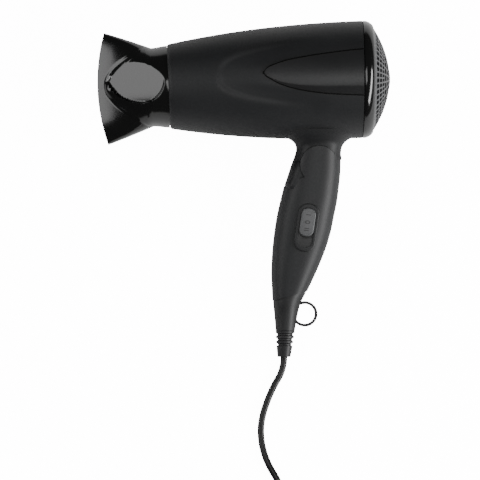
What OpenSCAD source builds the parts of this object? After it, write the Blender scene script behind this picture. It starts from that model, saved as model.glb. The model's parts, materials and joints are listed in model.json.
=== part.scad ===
// Folding travel hair dryer, lying on its side with its cord put away in a coil.
// Each piece is drawn upright (X to the rear, Z up), about the centre of the barrel's rear seam.
// lie_down() then lays the dryer on its side, with its left side up.

/* [Barrel] */
// Radius of the barrel at its rear seam
barrel_r = 41.1; // [40.9:0.1:42]
// Radius of the barrel at its front edge
mouth_r = 29.6; // [29.6:0.1:30.4]
// How late the barrel narrows towards the front
barrel_taper = 2.2; // [1.9:0.1:2.6]
// Wall of the housing shells
wall = 2.2; // [1.8:0.1:2.3]

/* [Inlet grille] */
// Height of the grille's dome
dome_h = 11.6; // [9:0.2:13]
// Number of radial ribs
rib_count = 26; // [18:1:30]
// Number of rings between rim and hub
ring_count = 6; // [4:1:7]

/* [Nozzle] */
// Height of the flat front slot, outside
lip_h = 78.4; // [70:0.2:82]
// Thickness of the flat front slot, outside
lip_t = 17; // [15:0.5:20]
// How far the slot's middle stands in front of its ends
lip_bow = 6; // [3:0.5:7]

/* [Fan] */
// Number of impeller blades
blade_count = 9; // [5:1:11]
// Tilt of the blades from the shaft
blade_pitch = 52; // [45:1:58]

/* [Switch] */
// Length of the slot
slot_l = 27.8; // [27.5:0.1:29]
// Width of the slot
slot_w = 10.8; // [10.6:0.1:11.4]
// Travel of the slider
slide_travel = 7.4; // [5:0.2:7.4]

/* [Cord] */
// Diameter of the cord
cord_d = 4.8; // [4.6:0.1:4.8]
// Radius of the coil at the middle of its turns
coil_r = 27.6; // [27:0.1:27.6]

/* [Hidden] */

charcoal = [0.22, 0.22, 0.23];
gloss_black = [0.05, 0.05, 0.06];
satin_black = [0.13, 0.13, 0.14];
mid_grey = [0.38, 0.38, 0.39];
steel = [0.7, 0.7, 0.72];
brass = [0.8, 0.62, 0.3];
mica = [0.78, 0.72, 0.58];
gap = 0.05;      // running clearance, on the radius
round_fn = 96;
big = 200;

// Attitude at rest on a flat surface, and the shift that puts the footprint's middle at the origin
rest_roll = 10.5;
rest_pitch = -3.8;
rest_shift = [82.7, 75.5, 43.44];

// Barrel, measured forward along the bore from the rear seam
barrel_len = 135;
bore_dip = 2.2;
barrel_steps = 12;
ring_depth = 7.8;
ring_r = 36.3;
hub_r = 6.5;
duct_r = 34.4;
duct_from = 8;
duct_to = 66;
motor_r = 13.5;
motor_from = 30;
motor_to = 60;
heater_from = 72;
heater_to = 122;
sleeve_r = 27;
socket_r = 27.6;

// Nozzle
collar_from = 136.2;
waist_at = 147;
waist_r = 27.5;
lip_at = 179.2;
nozzle_wall = 1.6;
skirt_r = 25.6;
skin_sides = 40;

// Hinge, with its axis across the dryer
hinge = [-30.4, 0, -60.1];
ear_r = 13.3;
ear_in = 11.9;
ear_out = 16.5;
neck_half = 14.6;
pin_r = 3;
sweep_r = 28.2;  // clear space in the handle for the neck as it folds

// Handle: [height, front edge, rear edge, half thickness]
handle_stations = [
    [-56, -50.4, -14.8, 16.5], [-66, -52.6, -15.1, 16.5], [-75, -54.8, -16, 16.5],
    [-85, -57.3, -17.3, 16.4], [-95, -59.6, -19.3, 16.1], [-107, -61.5, -21.8, 15.6],
    [-120, -62.9, -25.8, 14.9], [-135, -63.6, -32, 13.8], [-148, -63.1, -38, 12.6],
    [-158, -62.5, -43, 11.6]
];
boot_seam_rear = [-38.1, -148.2];
boot_seam_front = [-62.7, -154.9];

// Switch
switch_at = [-39.1, 0, -103.8];
switch_lean = 8.4;
knob_l = slot_l - slide_travel - 0.4;
face_y = -15.4;

// Cord boot: [height, middle, half depth, half thickness]
boot_stations = [
    [-147, -50.5, 11, 9.4], [-155, -52.2, 10.2, 9.6], [-164, -53.2, 8.3, 8.2], [-174, -53.7, 6.9, 6.9],
    [-186, -54.3, 5.8, 5.8], [-194.4, -54.6, 4.6, 4.6]
];
cord_exit = [-54.6, 0, -194.4];
lead_top = [-50.6, 0, -150];
loop_at = [-40.1, 0, -164.2];
loop_mid_r = 7.95;
loop_t = 1.05;

// Free cord on the surface, from the boot to the coil, as points on its centre line
cord_route = [
    [30.6, -115.6, 4.4], [30.2, -120.5, 3.5], [28.2, -127.5, 2.6], [24.5, -134.3, 2.4], [21.1, -141.3, 2.4],
    [18.3, -148.3, 2.4], [15.9, -156, 2.4], [14.5, -164, 2.4], [14.5, -172.5, 2.4], [16.2, -182, 2.4],
    [19.8, -191.6, 2.4], [24.8, -200.5, 2.4], [29.6, -210.5, 2.4], [32.8, -221.5, 2.4], [33.1, -232.5, 2.4],
    [33, -243.6, 2.4]
];
cord_sides = 8;

// Coil: layers of turns, each a cord's width apart
coil_at = [0, -243.6, 0];
coil_layers = 4;
turns_across = 2.25;
coil_out = coil_r + turns_across * cord_d / 2;
coil_in = coil_r - turns_across * cord_d / 2;
coil_h = coil_layers * cord_d;

// End of the cord, which climbs over the coil into the plug
end_r = 22;
end_run = 92;
climb_before = 40;

// Plug
plug_t = 22;
plug_w = 36;
plug_l = 38;
plug_tail = 18;
plug_pin_r = 2.4;
plug_pin_l = 19;
plug_pin_pitch = 19;
plug_z = coil_h + plug_t / 2;

// ---- Shared shapes ----

function barrel_at(z) = barrel_r - (barrel_r - mouth_r) * pow(max(z, 0) / barrel_len, barrel_taper);

// Stands children on the bore, whose local Z runs forward and whose local X runs up
module on_bore(z = 0) rotate([0, -90 - bore_dip, 0]) translate([0, 0, z]) children();

module lie_down() {
    translate(rest_shift)
    rotate([rest_roll, rest_pitch, 0])
    rotate([-90, 0, 0])
    children();
}

// Side outline [x, z] given thickness across the dryer, from y0 to y1
module side_plate(y0, y1) translate([0, y1, 0]) rotate([90, 0, 0]) linear_extrude(y1 - y0) children();

module tube(r_out, r_in, z0, z1) {
    translate([0, 0, z0])
    difference() {
        cylinder(r = r_out, h = z1 - z0, $fn = round_fn);
        translate([0, 0, -1]) cylinder(r = r_in, h = z1 - z0 + 2, $fn = round_fn);
    }
}

// Half space on one side of the parting plane: side -1 is left, 1 is right
module half(side) translate([-big, side < 0 ? -big : 0, -big]) cube([2 * big, big, 2 * big]);

// Point on a rounded section: power 2 is an ellipse, higher powers are squarer
function rounded(a, b, power, t) = [
    a * sign(cos(t)) * pow(abs(cos(t)), 2 / power),
    b * sign(sin(t)) * pow(abs(sin(t)), 2 / power)
];

// Closed skin over rings of equal point counts, capped at both ends
module skin(rings) {
    n = len(rings[0]);
    last = (len(rings) - 1) * n;
    polyhedron(
        points = [for (ring = rings) each ring],
        faces = [
            [for (i = [0 : n - 1]) i],
            [for (i = [n - 1 : -1 : 0]) last + i],
            for (k = [0 : len(rings) - 2], i = [0 : n - 1])
                let (a = k * n + i, b = k * n + (i + 1) % n)
                each [[a, a + n, b], [b, a + n, b + n]]
        ]
    );
}

// ---- Barrel ----

module barrel_form(inset, z0, z1) {
    on_bore()
    rotate_extrude($fn = round_fn)
    polygon([
        [0, z0],
        for (i = [0 : barrel_steps])
            let (z = z0 + (z1 - z0) * i / barrel_steps)
            [barrel_at(z) - inset, z],
        [0, z1]
    ]);
}

module neck_outline() {
    difference() {
        polygon([
            [-60, -36], [-54, -40.6], [-48.6, -43.6], [-46.2, -48], [-46.6, -52], [-50.4, -62.2],
            [-54.2, -74], [-51.6, -77.2], [-42, -70], [-30.4, -60.1], [-17.4, -57.2], [-15, -56.6],
            [-14.7, -50], [-12.4, -44.6], [-7, -41.2], [-2, -36]
        ]);
        translate([hinge.x, hinge.z]) circle(r = ear_r + 0.2, $fn = round_fn);
    }
}

module neck_form() {
    side_plate(-neck_half, neck_half) neck_outline();
    translate([hinge.x, 0, hinge.z])
        rotate([90, 0, 0])
        translate([0, 0, -ear_in + 0.9])
        cylinder(r = ear_r + 0.4, h = 2 * ear_in - 1.8, $fn = round_fn);
}

module trim_outline() {
    polygon([
        [-69.4, 3.3], [-64.5, 7.8], [-53.9, 11.5], [-43.4, 13.7], [-29.5, 16], [-12.2, 18.3], [-1, 19.5],
        [-1, -11.9], [-29.5, -10.4], [-47, -7.6], [-58.6, -4], [-64.4, -0.8]
    ]);
}

module trim_pocket(side) {
    difference() {
        side_plate(side < 0 ? -60 : 20, side < 0 ? -20 : 60) trim_outline();
        barrel_form(1, -2, barrel_len + 2);
    }
}

module body_shell(side) {
    intersection() {
        difference() {
            union() {
                barrel_form(0, 0, barrel_len);
                neck_form();
            }
            barrel_form(wall, -1, 118);
            on_bore(117) cylinder(r = socket_r, h = 30, $fn = round_fn);
            trim_pocket(side);
            translate([-46, -8, -90]) cube([9, 16, 60]);
            translate([hinge.x, -20, hinge.z]) rotate([-90, 0, 0])
                cylinder(r = pin_r + gap, h = 40, $fn = round_fn);
            screw_places() cylinder(r = 1.4, h = 60, center = true, $fn = round_fn);
        }
        half(side);
    }
    intersection() {
        on_bore() for (z = [14, 60]) tube(barrel_at(z) - wall + 0.3, duct_r + 0.1, z, z + 1.6);
        half(side);
    }
}

module body_shell_left() color(charcoal) body_shell(-1);

module body_shell_right() color(charcoal) body_shell(1);

module side_trim(side) {
    color(satin_black)
    intersection() {
        barrel_form(0, 0, barrel_len);
        trim_pocket(side);
    }
}

module side_trim_left() side_trim(-1);

module side_trim_right() side_trim(1);

module rear_trim_ring() {
    color(gloss_black)
    on_bore()
    rotate_extrude($fn = round_fn)
    polygon([
        [ring_r - 0.4, 4], [barrel_at(0) - wall - 0.2, 4], [barrel_at(0) - wall - 0.2, 0],
        for (t = [0 : 15 : 90])
            [ring_r + 0.6 + (barrel_r - ring_r - 0.6) * cos(t), -ring_depth * sin(t)],
        [ring_r - 0.4, -ring_depth]
    ]);
}

function dome_at(r) = -ring_depth - dome_h * (1 - pow(r / ring_r, 2));

// Strip under the dome's curve, from depth t0 to depth t1
module dome_strip(t0, t1) {
    polygon([
        for (r = [0 : 4 : 36]) [r, dome_at(r) + t0],
        for (r = [36 : -4 : 0]) [r, dome_at(r) + t1]
    ]);
}

module inlet_grille() {
    color(satin_black)
    on_bore() {
        rotate_extrude($fn = round_fn) {
            translate([33.6, -9.4]) square([2.2, 9.8]);
            intersection() {
                dome_strip(0, 1.8);
                for (i = [2 : ring_count]) translate([33.4 * i / ring_count - 2, -30]) square([1.2, 40]);
            }
            translate([0, dome_at(0) - 0.7]) square([hub_r, 3.2]);
        }
        for (i = [0 : rib_count - 1])
            rotate([0, 0, 360 * i / rib_count])
            rotate([90, 0, 0])
            linear_extrude(1, center = true)
            intersection() {
                dome_strip(-0.35, 1.3);
                translate([hub_r - 1, -30]) square([35.1 - hub_r, 40]);
            }
    }
}

module lint_screen() color(gloss_black) on_bore(-0.8) cylinder(r = 33.4, h = 0.6, $fn = round_fn);

module fan_duct() {
    color(mid_grey)
    on_bore() {
        tube(duct_r, duct_r - 1.4, duct_from, duct_to);
        tube(motor_r + 1.6, motor_r + 0.1, motor_from + 4, motor_to);
        for (i = [0 : 6])
            rotate([0, 0, i * 360 / 7])
            translate([motor_r + 1.2, -0.7, motor_from + 6])
            cube([duct_r - motor_r - 2, 1.4, motor_to - motor_from - 8]);
    }
}

module motor_can() color(steel) on_bore() tube(motor_r, motor_r - 0.9, motor_from, motor_to - 2);

module motor_end_cap() {
    color(gloss_black)
    on_bore() {
        tube(motor_r, 1.2, motor_to - 2, motor_to);
        tube(4, 1.2, motor_to, motor_to + 2.5);
    }
}

module rectifier_board() color([0.12, 0.35, 0.2]) on_bore() tube(11, 4.2, motor_to + 0.5, motor_to + 2);

module motor_shaft() {
    color(steel)
    on_bore() {
        translate([0, 0, 14]) cylinder(r = 1, h = 49, $fn = round_fn);
        translate([0, 0, 33]) cylinder(r = 10.5, h = 20, $fn = round_fn);
    }
}

module fan_impeller() {
    color(gloss_black)
    on_bore() {
        tube(10, 1, 12, 27);
        for (i = [0 : blade_count - 1])
            rotate([0, 0, 360 * i / blade_count])
            translate([9, 0, 19.5])
            rotate([blade_pitch, 0, 0])
            translate([0, -0.6, -7.5])
            cube([22, 1.2, 15]);
    }
}

module mica_sleeve() color(mica) on_bore() tube(sleeve_r, sleeve_r - 0.5, heater_from - 4, heater_to + 2);

module mica_cross() {
    color(mica)
    on_bore() {
        for (turn = [0, 90])
            rotate([0, 0, turn])
            translate([-22.5, -0.4, heater_from])
            cube([45, 0.8, heater_to - heater_from]);
        tube(16, 3, heater_from - 1, heater_from);
    }
}

module heating_coils() {
    color(steel)
    on_bore()
    for (z = [heater_from + 5 : 6 : heater_to - 4], r = [14, 21])
        translate([0, 0, z])
        rotate_extrude($fn = round_fn)
        translate([r, 0]) circle(r = 1.1, $fn = 24);
}

module thermostat() {
    color(steel)
    on_bore()
    translate([4.2, 0.4, heater_from + 8]) {
        cube([6, 3.4, 4]);
        translate([3, 3.4, 2]) rotate([-90, 0, 0]) cylinder(r = 1.8, h = 1, $fn = round_fn);
    }
}

module thermal_fuse() {
    color(steel)
    on_bore()
    translate([-6.5, 2.6, heater_from + 20]) cylinder(r = 2, h = 11, $fn = round_fn);
}

module outlet_grille() {
    color(gloss_black)
    on_bore(124.4) {
        tube(socket_r - 0.1, socket_r - 1.8, 0, 4);
        cylinder(r = 4, h = 4, $fn = round_fn);
        for (r = [11, 18]) tube(r + 0.7, r - 0.7, 1.3, 2.7);
        for (turn = [0 : 45 : 315])
            rotate([0, 0, turn]) translate([3, -0.7, 0.9]) cube([23.4, 1.4, 2.2]);
    }
}

module barrel_leads() {
    color([0.75, 0.15, 0.12])
    for (y = [-3, 3])
        translate([-42, y, -66]) rotate([0, 4, 0]) cylinder(r = 1.2, h = 27, $fn = 24);
}

module screw_places() {
    for (at = [[-24, -46], [-68, -31.5]])
        translate([at.x, 0, at.y]) rotate([90, 0, 0]) children();
}

module body_screws() {
    color(steel)
    screw_places() cylinder(r = 1.4, h = 22, center = true, $fn = round_fn);
}

// ---- Nozzle ----

module nozzle_ring() {
    color(satin_black)
    on_bore() tube(socket_r - gap, skirt_r + gap, 129.4, collar_from - 1.4);
}

function nozzle_ring_at(z, a, b, power, bow) = [
    for (i = [0 : skin_sides - 1])
        let (p = rounded(a, b, power, 360 * i / skin_sides))
        [p.x, p.y, z + bow * (1 - pow(p.x / a, 2))]
];

module nozzle_form(inset, back, front) {
    skin([
        nozzle_ring_at(collar_from - back, 28.7 - inset, 28.7 - inset, 2, 0),
        nozzle_ring_at(waist_at, waist_r - inset, waist_r - inset, 2, 0),
        for (k = [0.25 : 0.25 : 1])
            let (flare = waist_r + (lip_h / 2 - waist_r) * k, thin = waist_r + (lip_t / 2 - waist_r) * k)
            nozzle_ring_at(
                waist_at + (lip_at - waist_at) * k + (k == 1 ? front : 0),
                flare - inset, thin - inset, 2 + 2 * k, lip_bow * k
            )
    ]);
}

module nozzle() {
    color(gloss_black)
    on_bore() {
        difference() {
            nozzle_form(0, 0, 0);
            nozzle_form(nozzle_wall, 1, 1);
        }
        tube(27.8, skirt_r - 1.4, collar_from, collar_from + 1.6);
        tube(skirt_r, skirt_r - 1.4, 129.6, collar_from + 1.6);
    }
}

// ---- Handle ----

function handle_ring(s, inset) = [
    for (i = [0 : skin_sides - 1])
        let (p = rounded((s[2] - s[1]) / 2 - inset, s[3] - inset, 2.5, 360 * i / skin_sides))
        [(s[1] + s[2]) / 2 + p.x, p.y, s[0]]
];

module handle_form(inset) {
    skin([for (k = [len(handle_stations) - 1 : -1 : 0]) handle_ring(handle_stations[k], inset)]);
}

// Everything below the seam with the neck and above the seam with the boot
module handle_zone() {
    side_plate(-30, 30)
    polygon([
        [hinge.x, hinge.z], [-9, -57.4], [-9, -140.3], boot_seam_rear, boot_seam_front, [-75, -158.3],
        [-75, -84.6], [-54.6, -74.9], [-40.8, -68.7]
    ]);
}

module slot_form(length, width, y0, y1) {
    translate(switch_at)
    rotate([0, switch_lean, 0])
    translate([0, y1, 0])
    rotate([90, 0, 0])
    linear_extrude(y1 - y0)
    for (end = [-1, 1]) {
        translate([0, end * (length - width) / 2]) circle(d = width, $fn = round_fn);
        square([width, length - width], center = true);
    }
}

module ear(side) {
    translate([hinge.x, side < 0 ? -ear_out : ear_in, hinge.z])
    rotate([-90, 0, 0])
    cylinder(r = ear_r, h = ear_out - ear_in, $fn = round_fn);
}

// Space that the neck passes through as the handle folds, and the round seat of its knuckle
module neck_sweep() {
    half_y = neck_half + 0.3;
    translate([hinge.x, -half_y, hinge.z]) rotate([-90, 0, 0]) {
        cylinder(r = ear_r + 0.6, h = 2 * half_y, $fn = round_fn);
        intersection() {
            cylinder(r = sweep_r, h = 2 * half_y, $fn = round_fn);
            translate([10.5 - 60, -10, -1]) cube([60, 60, 50]);
        }
    }
}

module handle_shell(side) {
    difference() {
        union() {
            intersection() {
                difference() {
                    handle_form(0);
                    translate([0, 0, -0.01]) handle_form(wall);
                    neck_sweep();
                }
                handle_zone();
                half(side);
            }
            ear(side);
            if (side < 0) intersection() {
                slot_form(34, 15, face_y - 1.6, face_y + 2.6);
                half(side);
            }
        }
        if (side < 0) slot_form(slot_l, slot_w, -30, -5);
        translate([hinge.x, -15.6, hinge.z]) rotate([-90, 0, 0])
            cylinder(r = pin_r, h = 31.2, $fn = round_fn);
        handle_screw_places() cylinder(r = 1.4, h = 60, center = true, $fn = round_fn);
    }
}

module handle_shell_left() color(charcoal) handle_shell(-1);

module handle_shell_right() color(charcoal) handle_shell(1);

module hinge_pin() {
    color(steel)
    translate([hinge.x, -15.6, hinge.z])
    rotate([-90, 0, 0])
    cylinder(r = pin_r, h = 31.2, $fn = round_fn);
}

module hinge_washers() {
    color(steel)
    for (side = [-1, 1])
        translate([hinge.x, side * (ear_in - 0.4), hinge.z])
        rotate([90, 0, 0])
        translate([0, 0, -0.35])
        tube(7, pin_r + gap, 0, 0.7);
}

module switch_body() {
    color(satin_black)
    translate(switch_at)
    rotate([0, switch_lean, 0])
    translate([-5.5, -11, -15])
    cube([11, 12, 30]);
}

module switch_slider() {
    color(mid_grey)
    translate([sin(switch_lean), 0, cos(switch_lean)] * slide_travel / 2) {
        slot_form(knob_l, slot_w - 0.4, face_y - 2.4, face_y + 1);
        slot_form(knob_l - 4, slot_w - 3, face_y, -11.2);
    }
}

module capacitor() {
    color([0.75, 0.68, 0.25])
    translate([-56, -8, -142]) cube([14, 8, 14]);
}

module cord_clamp() {
    color(satin_black)
    difference() {
        translate([-56.5, -8.5, -148.4]) cube([12, 17, 4.4]);
        translate([lead_top.x, 0, -155]) cylinder(r = 2.5, h = 20, $fn = round_fn);
    }
}

module handle_leads() {
    color([0.75, 0.15, 0.12])
    for (y = [4.5, 8])
        translate([-47, y, -140]) rotate([0, 6, 0]) cylinder(r = 1.2, h = 46, $fn = 24);
}

module handle_screw_places() {
    for (at = [[-57.5, -112], [-36.8, -138]])
        translate([at.x, 0, at.y]) rotate([90, 0, 0]) children();
}

module handle_screws() {
    color(steel)
    handle_screw_places() cylinder(r = 1.4, h = 16, center = true, $fn = round_fn);
}

module lead_line(r) {
    run = lead_top - cord_exit;
    translate(cord_exit)
    rotate([0, atan2(run.x, run.z), 0])
    cylinder(r = r, h = norm(run), $fn = round_fn);
}

module supply_lead() color(gloss_black) lead_line(cord_d / 2);

function boot_ring(s) = [
    for (i = [0 : skin_sides - 1])
        let (p = rounded(s[2], s[3], 2.2, 360 * i / skin_sides))
        [s[1] + p.x, p.y, s[0]]
];

module cord_boot() {
    color(satin_black)
    difference() {
        union() {
            intersection() {
                skin([for (k = [len(boot_stations) - 1 : -1 : 0]) boot_ring(boot_stations[k])]);
                side_plate(-30, 30)
                polygon([
                    boot_seam_rear + [0, -0.1], boot_seam_front + [0, -0.1], [-75, -158.3],
                    [-75, -200], [-20, -200], [-20, -143.2]
                ]);
            }
            translate(loop_at) rotate([90, 0, 0]) rotate_extrude($fn = round_fn)
                translate([loop_mid_r, 0]) square([2 * loop_t, 4.4], center = true);
        }
        lead_line(cord_d / 2);
    }
}

// ---- Cord, in its place on the surface ----

function unit(v) = v / norm(v);

function tube_ring(p, way, r) =
    let (side = unit(cross(way, [0, 0, 1])), up = cross(way, side))
    [for (i = [0 : cord_sides - 1])
        let (t = 360 * i / cord_sides)
        p + r * cos(t) * side + r * sin(t) * up];

module cord_along(points) {
    last = len(points) - 1;
    skin([
        for (k = [0 : last])
            tube_ring(points[k], unit(points[min(k + 1, last)] - points[max(k - 1, 0)]), cord_d / 2)
    ]);
}

module cord_tube() color(gloss_black) cord_along(cord_route);

module cord_coil() {
    color(gloss_black)
    translate(coil_at)
    rotate_extrude($fn = round_fn)
    polygon([
        for (corner = [[coil_out, 0.5, 0], [coil_out, coil_h / cord_d - 0.5, 90],
                       [coil_in, coil_h / cord_d - 0.5, 180], [coil_in, 0.5, 270]], t = [-90 : 30 : 0])
            [corner[0] + cord_d / 2 * cos(t + corner[2]), corner[1] * cord_d + cord_d / 2 * sin(t + corner[2])]
    ]);
}

// Height of the cord's centre line at a distance along its end stretch
function climb(s) =
    let (t = s / end_run)
    coil_h - cord_d / 2 + (plug_z - coil_h + cord_d / 2) * (3 * t * t - 2 * t * t * t);

module cord_end() {
    color(gloss_black)
    translate(coil_at)
    cord_along([
        for (t = [20 : 14 : 90])
            [coil_out - end_r + end_r * cos(t), -end_r * sin(t), climb(climb_before + end_r * t * PI / 180)]
    ]);
}

module cord_tie() {
    color(satin_black)
    translate(coil_at)
    rotate([0, 0, 120])
    translate([coil_r, 4, coil_h / 2])
    rotate([90, 0, 0])
    linear_extrude(8)
    difference() {
        square([coil_out - coil_in + cord_d + 1.6, coil_h + 0.8], center = true);
        square([coil_out - coil_in + cord_d - 0.2, coil_h - 1], center = true);
    }
}

module on_plug() {
    translate(coil_at + [coil_out - end_r, -end_r, plug_z]) rotate([0, -90, 0]) children();
}

module plug_body() {
    color(gloss_black)
    on_plug() {
        translate([-0.9, 0, 0.6]) cylinder(r1 = 3.2, r2 = 5.4, h = plug_tail, $fn = round_fn);
        translate([plug_t / 2, 0, plug_tail])
            rotate([0, -90, 0])
            linear_extrude(plug_t)
            polygon([
                [0, -7], [6, -12], [16, -15], [plug_l - 4, -plug_w / 2], [plug_l, -plug_w / 2 + 1],
                [plug_l, plug_w / 2 - 1], [plug_l - 4, plug_w / 2], [16, 15], [6, 12], [0, 7]
            ]);
    }
}

module plug_pins() {
    color(brass)
    on_plug()
    for (side = [-1, 1])
        translate([0, side * plug_pin_pitch / 2, plug_tail + plug_l])
        cylinder(r = plug_pin_r, h = plug_pin_l, $fn = round_fn);
}

// ---- Placing ----

lie_down() body_shell_left();
lie_down() body_shell_right();
lie_down() side_trim_left();
lie_down() side_trim_right();
lie_down() rear_trim_ring();
lie_down() inlet_grille();
lie_down() lint_screen();
lie_down() fan_duct();
lie_down() motor_can();
lie_down() motor_end_cap();
lie_down() rectifier_board();
lie_down() motor_shaft();
lie_down() fan_impeller();
lie_down() mica_sleeve();
lie_down() mica_cross();
lie_down() heating_coils();
lie_down() thermostat();
lie_down() thermal_fuse();
lie_down() outlet_grille();
lie_down() barrel_leads();
lie_down() body_screws();
lie_down() nozzle_ring();
lie_down() nozzle();
lie_down() handle_shell_left();
lie_down() handle_shell_right();
lie_down() hinge_pin();
lie_down() hinge_washers();
lie_down() switch_body();
lie_down() switch_slider();
lie_down() capacitor();
lie_down() cord_clamp();
lie_down() handle_leads();
lie_down() handle_screws();
lie_down() supply_lead();
lie_down() cord_boot();
cord_tube();
cord_coil();
cord_end();
cord_tie();
plug_body();
plug_pins();
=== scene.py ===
import json
import math

import bmesh
import bpy
from mathutils import Matrix, Vector


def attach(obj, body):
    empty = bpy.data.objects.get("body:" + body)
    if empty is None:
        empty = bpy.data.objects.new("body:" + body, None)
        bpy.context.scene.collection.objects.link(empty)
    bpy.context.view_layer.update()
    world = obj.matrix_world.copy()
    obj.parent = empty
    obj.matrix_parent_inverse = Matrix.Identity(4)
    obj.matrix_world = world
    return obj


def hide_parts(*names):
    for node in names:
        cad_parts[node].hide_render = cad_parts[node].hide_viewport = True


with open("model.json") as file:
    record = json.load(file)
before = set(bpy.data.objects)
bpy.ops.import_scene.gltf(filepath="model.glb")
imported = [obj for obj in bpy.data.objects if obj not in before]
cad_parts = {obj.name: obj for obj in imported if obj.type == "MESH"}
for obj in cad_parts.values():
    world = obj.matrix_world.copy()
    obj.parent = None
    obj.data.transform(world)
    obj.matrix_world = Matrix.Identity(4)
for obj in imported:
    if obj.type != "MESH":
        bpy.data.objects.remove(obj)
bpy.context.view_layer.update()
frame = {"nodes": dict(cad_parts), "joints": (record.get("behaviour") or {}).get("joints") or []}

# Camera
# The dryer lies on its right side, a little tilted, so its own axes come from the joints: the fan's
# shaft runs along the bore and the fold's pin runs across. Sizes are in millimetres on those axes.
MM = 0.001
joints = {joint["name"]: joint for joint in frame["joints"]}
bore_dip = math.radians(2.2)
forward = Vector(joints["fan_spin"]["axis"]).normalized()
across = -Vector(joints["fold"]["axis"]).normalized()
bore_up = across.cross(forward)
rearward = -math.cos(bore_dip) * forward - math.sin(bore_dip) * bore_up
upward = math.cos(bore_dip) * bore_up - math.sin(bore_dip) * forward
seam_centre = Vector(joints["fan_spin"]["pos_m"])


def axes(x, y, z):
    turned = Matrix((x, y, z)).transposed().to_4x4()
    return Matrix.Translation(seam_centre) @ turned @ Matrix.Scale(MM, 4)


LAID = axes(rearward, across, upward)
BORE = axes(bore_up, across, forward)
view_centre = Vector((-85.4, 0, -112.5))
view_distance = 3000
view_toward_nozzle = 47
view_width = 336
sensor = 36
camera_data = bpy.data.cameras.new("camera")
camera_data.sensor_width = sensor
camera_data.lens = sensor * view_distance / view_width
camera_data.clip_end = 20
camera = bpy.data.objects.new("camera", camera_data)
bpy.context.scene.collection.objects.link(camera)
eye = LAID @ (view_centre - Vector((view_toward_nozzle, view_distance, 0)))
back = (eye - LAID @ view_centre).normalized()
right = upward.cross(back).normalized()
camera_turn = Matrix((right, back.cross(right), back)).transposed().to_4x4()
camera.matrix_world = Matrix.Translation(eye) @ camera_turn
bpy.context.scene.camera = camera

# Mains cord
# Two-core round flex with a glossy PVC jacket, 1.75 m long. It leaves the boot's tip, runs over the
# table in a loose S and is wound up in a tied coil of four layers, with the plug lying on top.
cord_d = 4.8
route = [
    (30.6, -115.6, 4.4), (30.2, -120.5, 3.5), (28.2, -127.5, 2.6), (24.5, -134.3, 2.4), (21.1, -141.3, 2.4),
    (18.3, -148.3, 2.4), (15.9, -156, 2.4), (14.5, -164, 2.4), (14.5, -172.5, 2.4), (16.2, -182, 2.4),
    (19.8, -191.6, 2.4), (24.8, -200.5, 2.4), (29.6, -210.5, 2.4), (32.8, -221.5, 2.4), (33.1, -232.5, 2.4),
    (33, -243.6, 2.4)
]
coil_centre = Vector((0, -243.6, 0))
coil_outer = 33.0
coil_inner = 22.2
layers = 4
layer_turns = 2.25
change_window = 60
point_step = 15
climb_high = 13.4
climb_length = 92
climb_start = 40
end_bend = 22
end_centre = Vector((11, 0, 0))
plug_lift = 30.2
plug_lead = 9


def smooth_step(t):
    t = min(max(t, 0), 1)
    return t * t * (3 - 2 * t)


def coil_point(angle):
    """Angle in degrees wound so far. Layers go inward and outward by turns."""
    layer_angle = 360 * layer_turns
    layer = min(int(angle / layer_angle), layers - 1)
    done = angle / layer_angle - layer
    inward = done if layer % 2 == 0 else 1 - done
    radius = coil_outer - (coil_outer - coil_inner) * inward
    lift = smooth_step((angle - (layer + 1) * layer_angle) / change_window + 1) if layer < layers - 1 else 0
    turn = math.radians(-angle)
    height = cord_d * (layer + 0.5 + lift)
    return coil_centre + Vector((radius * math.cos(turn), radius * math.sin(turn), height))


def climb(way):
    """How high the cord's end has risen off the coil, that far along."""
    return climb_high * smooth_step(way / climb_length)


cord_points = [Vector(point) for point in route]
wound = 360 * layers * layer_turns
angle = point_step
while angle <= wound:
    point = coil_point(angle)
    left_over = math.radians(wound - angle) * coil_outer
    if left_over < climb_start:
        point.z += climb(climb_start - left_over)
    cord_points.append(point)
    angle += point_step
for degrees in range(point_step, 91, point_step):
    turn = math.radians(-degrees)
    way = climb_start + end_bend * math.radians(degrees)
    height = cord_d * (layers - 0.5) + climb(way)
    bend_point = Vector((end_bend * math.cos(turn), end_bend * math.sin(turn), height))
    cord_points.append(coil_centre + end_centre + bend_point)
plug_start = coil_centre + Vector((end_centre.x, -end_bend, plug_lift))
cord_points.append(plug_start - Vector((plug_lead, 0, 0)))

cord_curve = bpy.data.curves.new("mains_cord", "CURVE")
cord_curve.dimensions = "3D"
cord_curve.bevel_depth = cord_d / 2 * MM
cord_curve.bevel_resolution = 4
cord_curve.resolution_u = 4
cord_curve.use_fill_caps = True
strand = cord_curve.splines.new("BEZIER")
strand.bezier_points.add(len(cord_points) - 1)
for knot, point in zip(strand.bezier_points, cord_points):
    knot.co = point * MM
    knot.handle_left_type = knot.handle_right_type = "AUTO"
mains_cord = bpy.data.objects.new("mains_cord", cord_curve)
bpy.context.scene.collection.objects.link(mains_cord)


def effect(name, inputs, outputs):
    """A node group with its sockets, and its input and output nodes."""
    group = bpy.data.node_groups.new(name, "ShaderNodeTree")
    for socket, kind, value in inputs:
        made = group.interface.new_socket(socket, in_out="INPUT", socket_type=kind)
        if value is not None:
            made.default_value = value
    for socket, kind in outputs:
        group.interface.new_socket(socket, in_out="OUTPUT", socket_type=kind)
    return group, group.nodes.new("NodeGroupInput"), group.nodes.new("NodeGroupOutput")


def add(tree, kind, **settings):
    """A node with its settings; a setting of a socket is given by the socket's name."""
    node = tree.nodes.new("ShaderNode" + kind)
    for name, value in settings.items():
        if name in node.inputs:
            node.inputs[name].default_value = value
        else:
            setattr(node, name, value)
    return node


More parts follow.
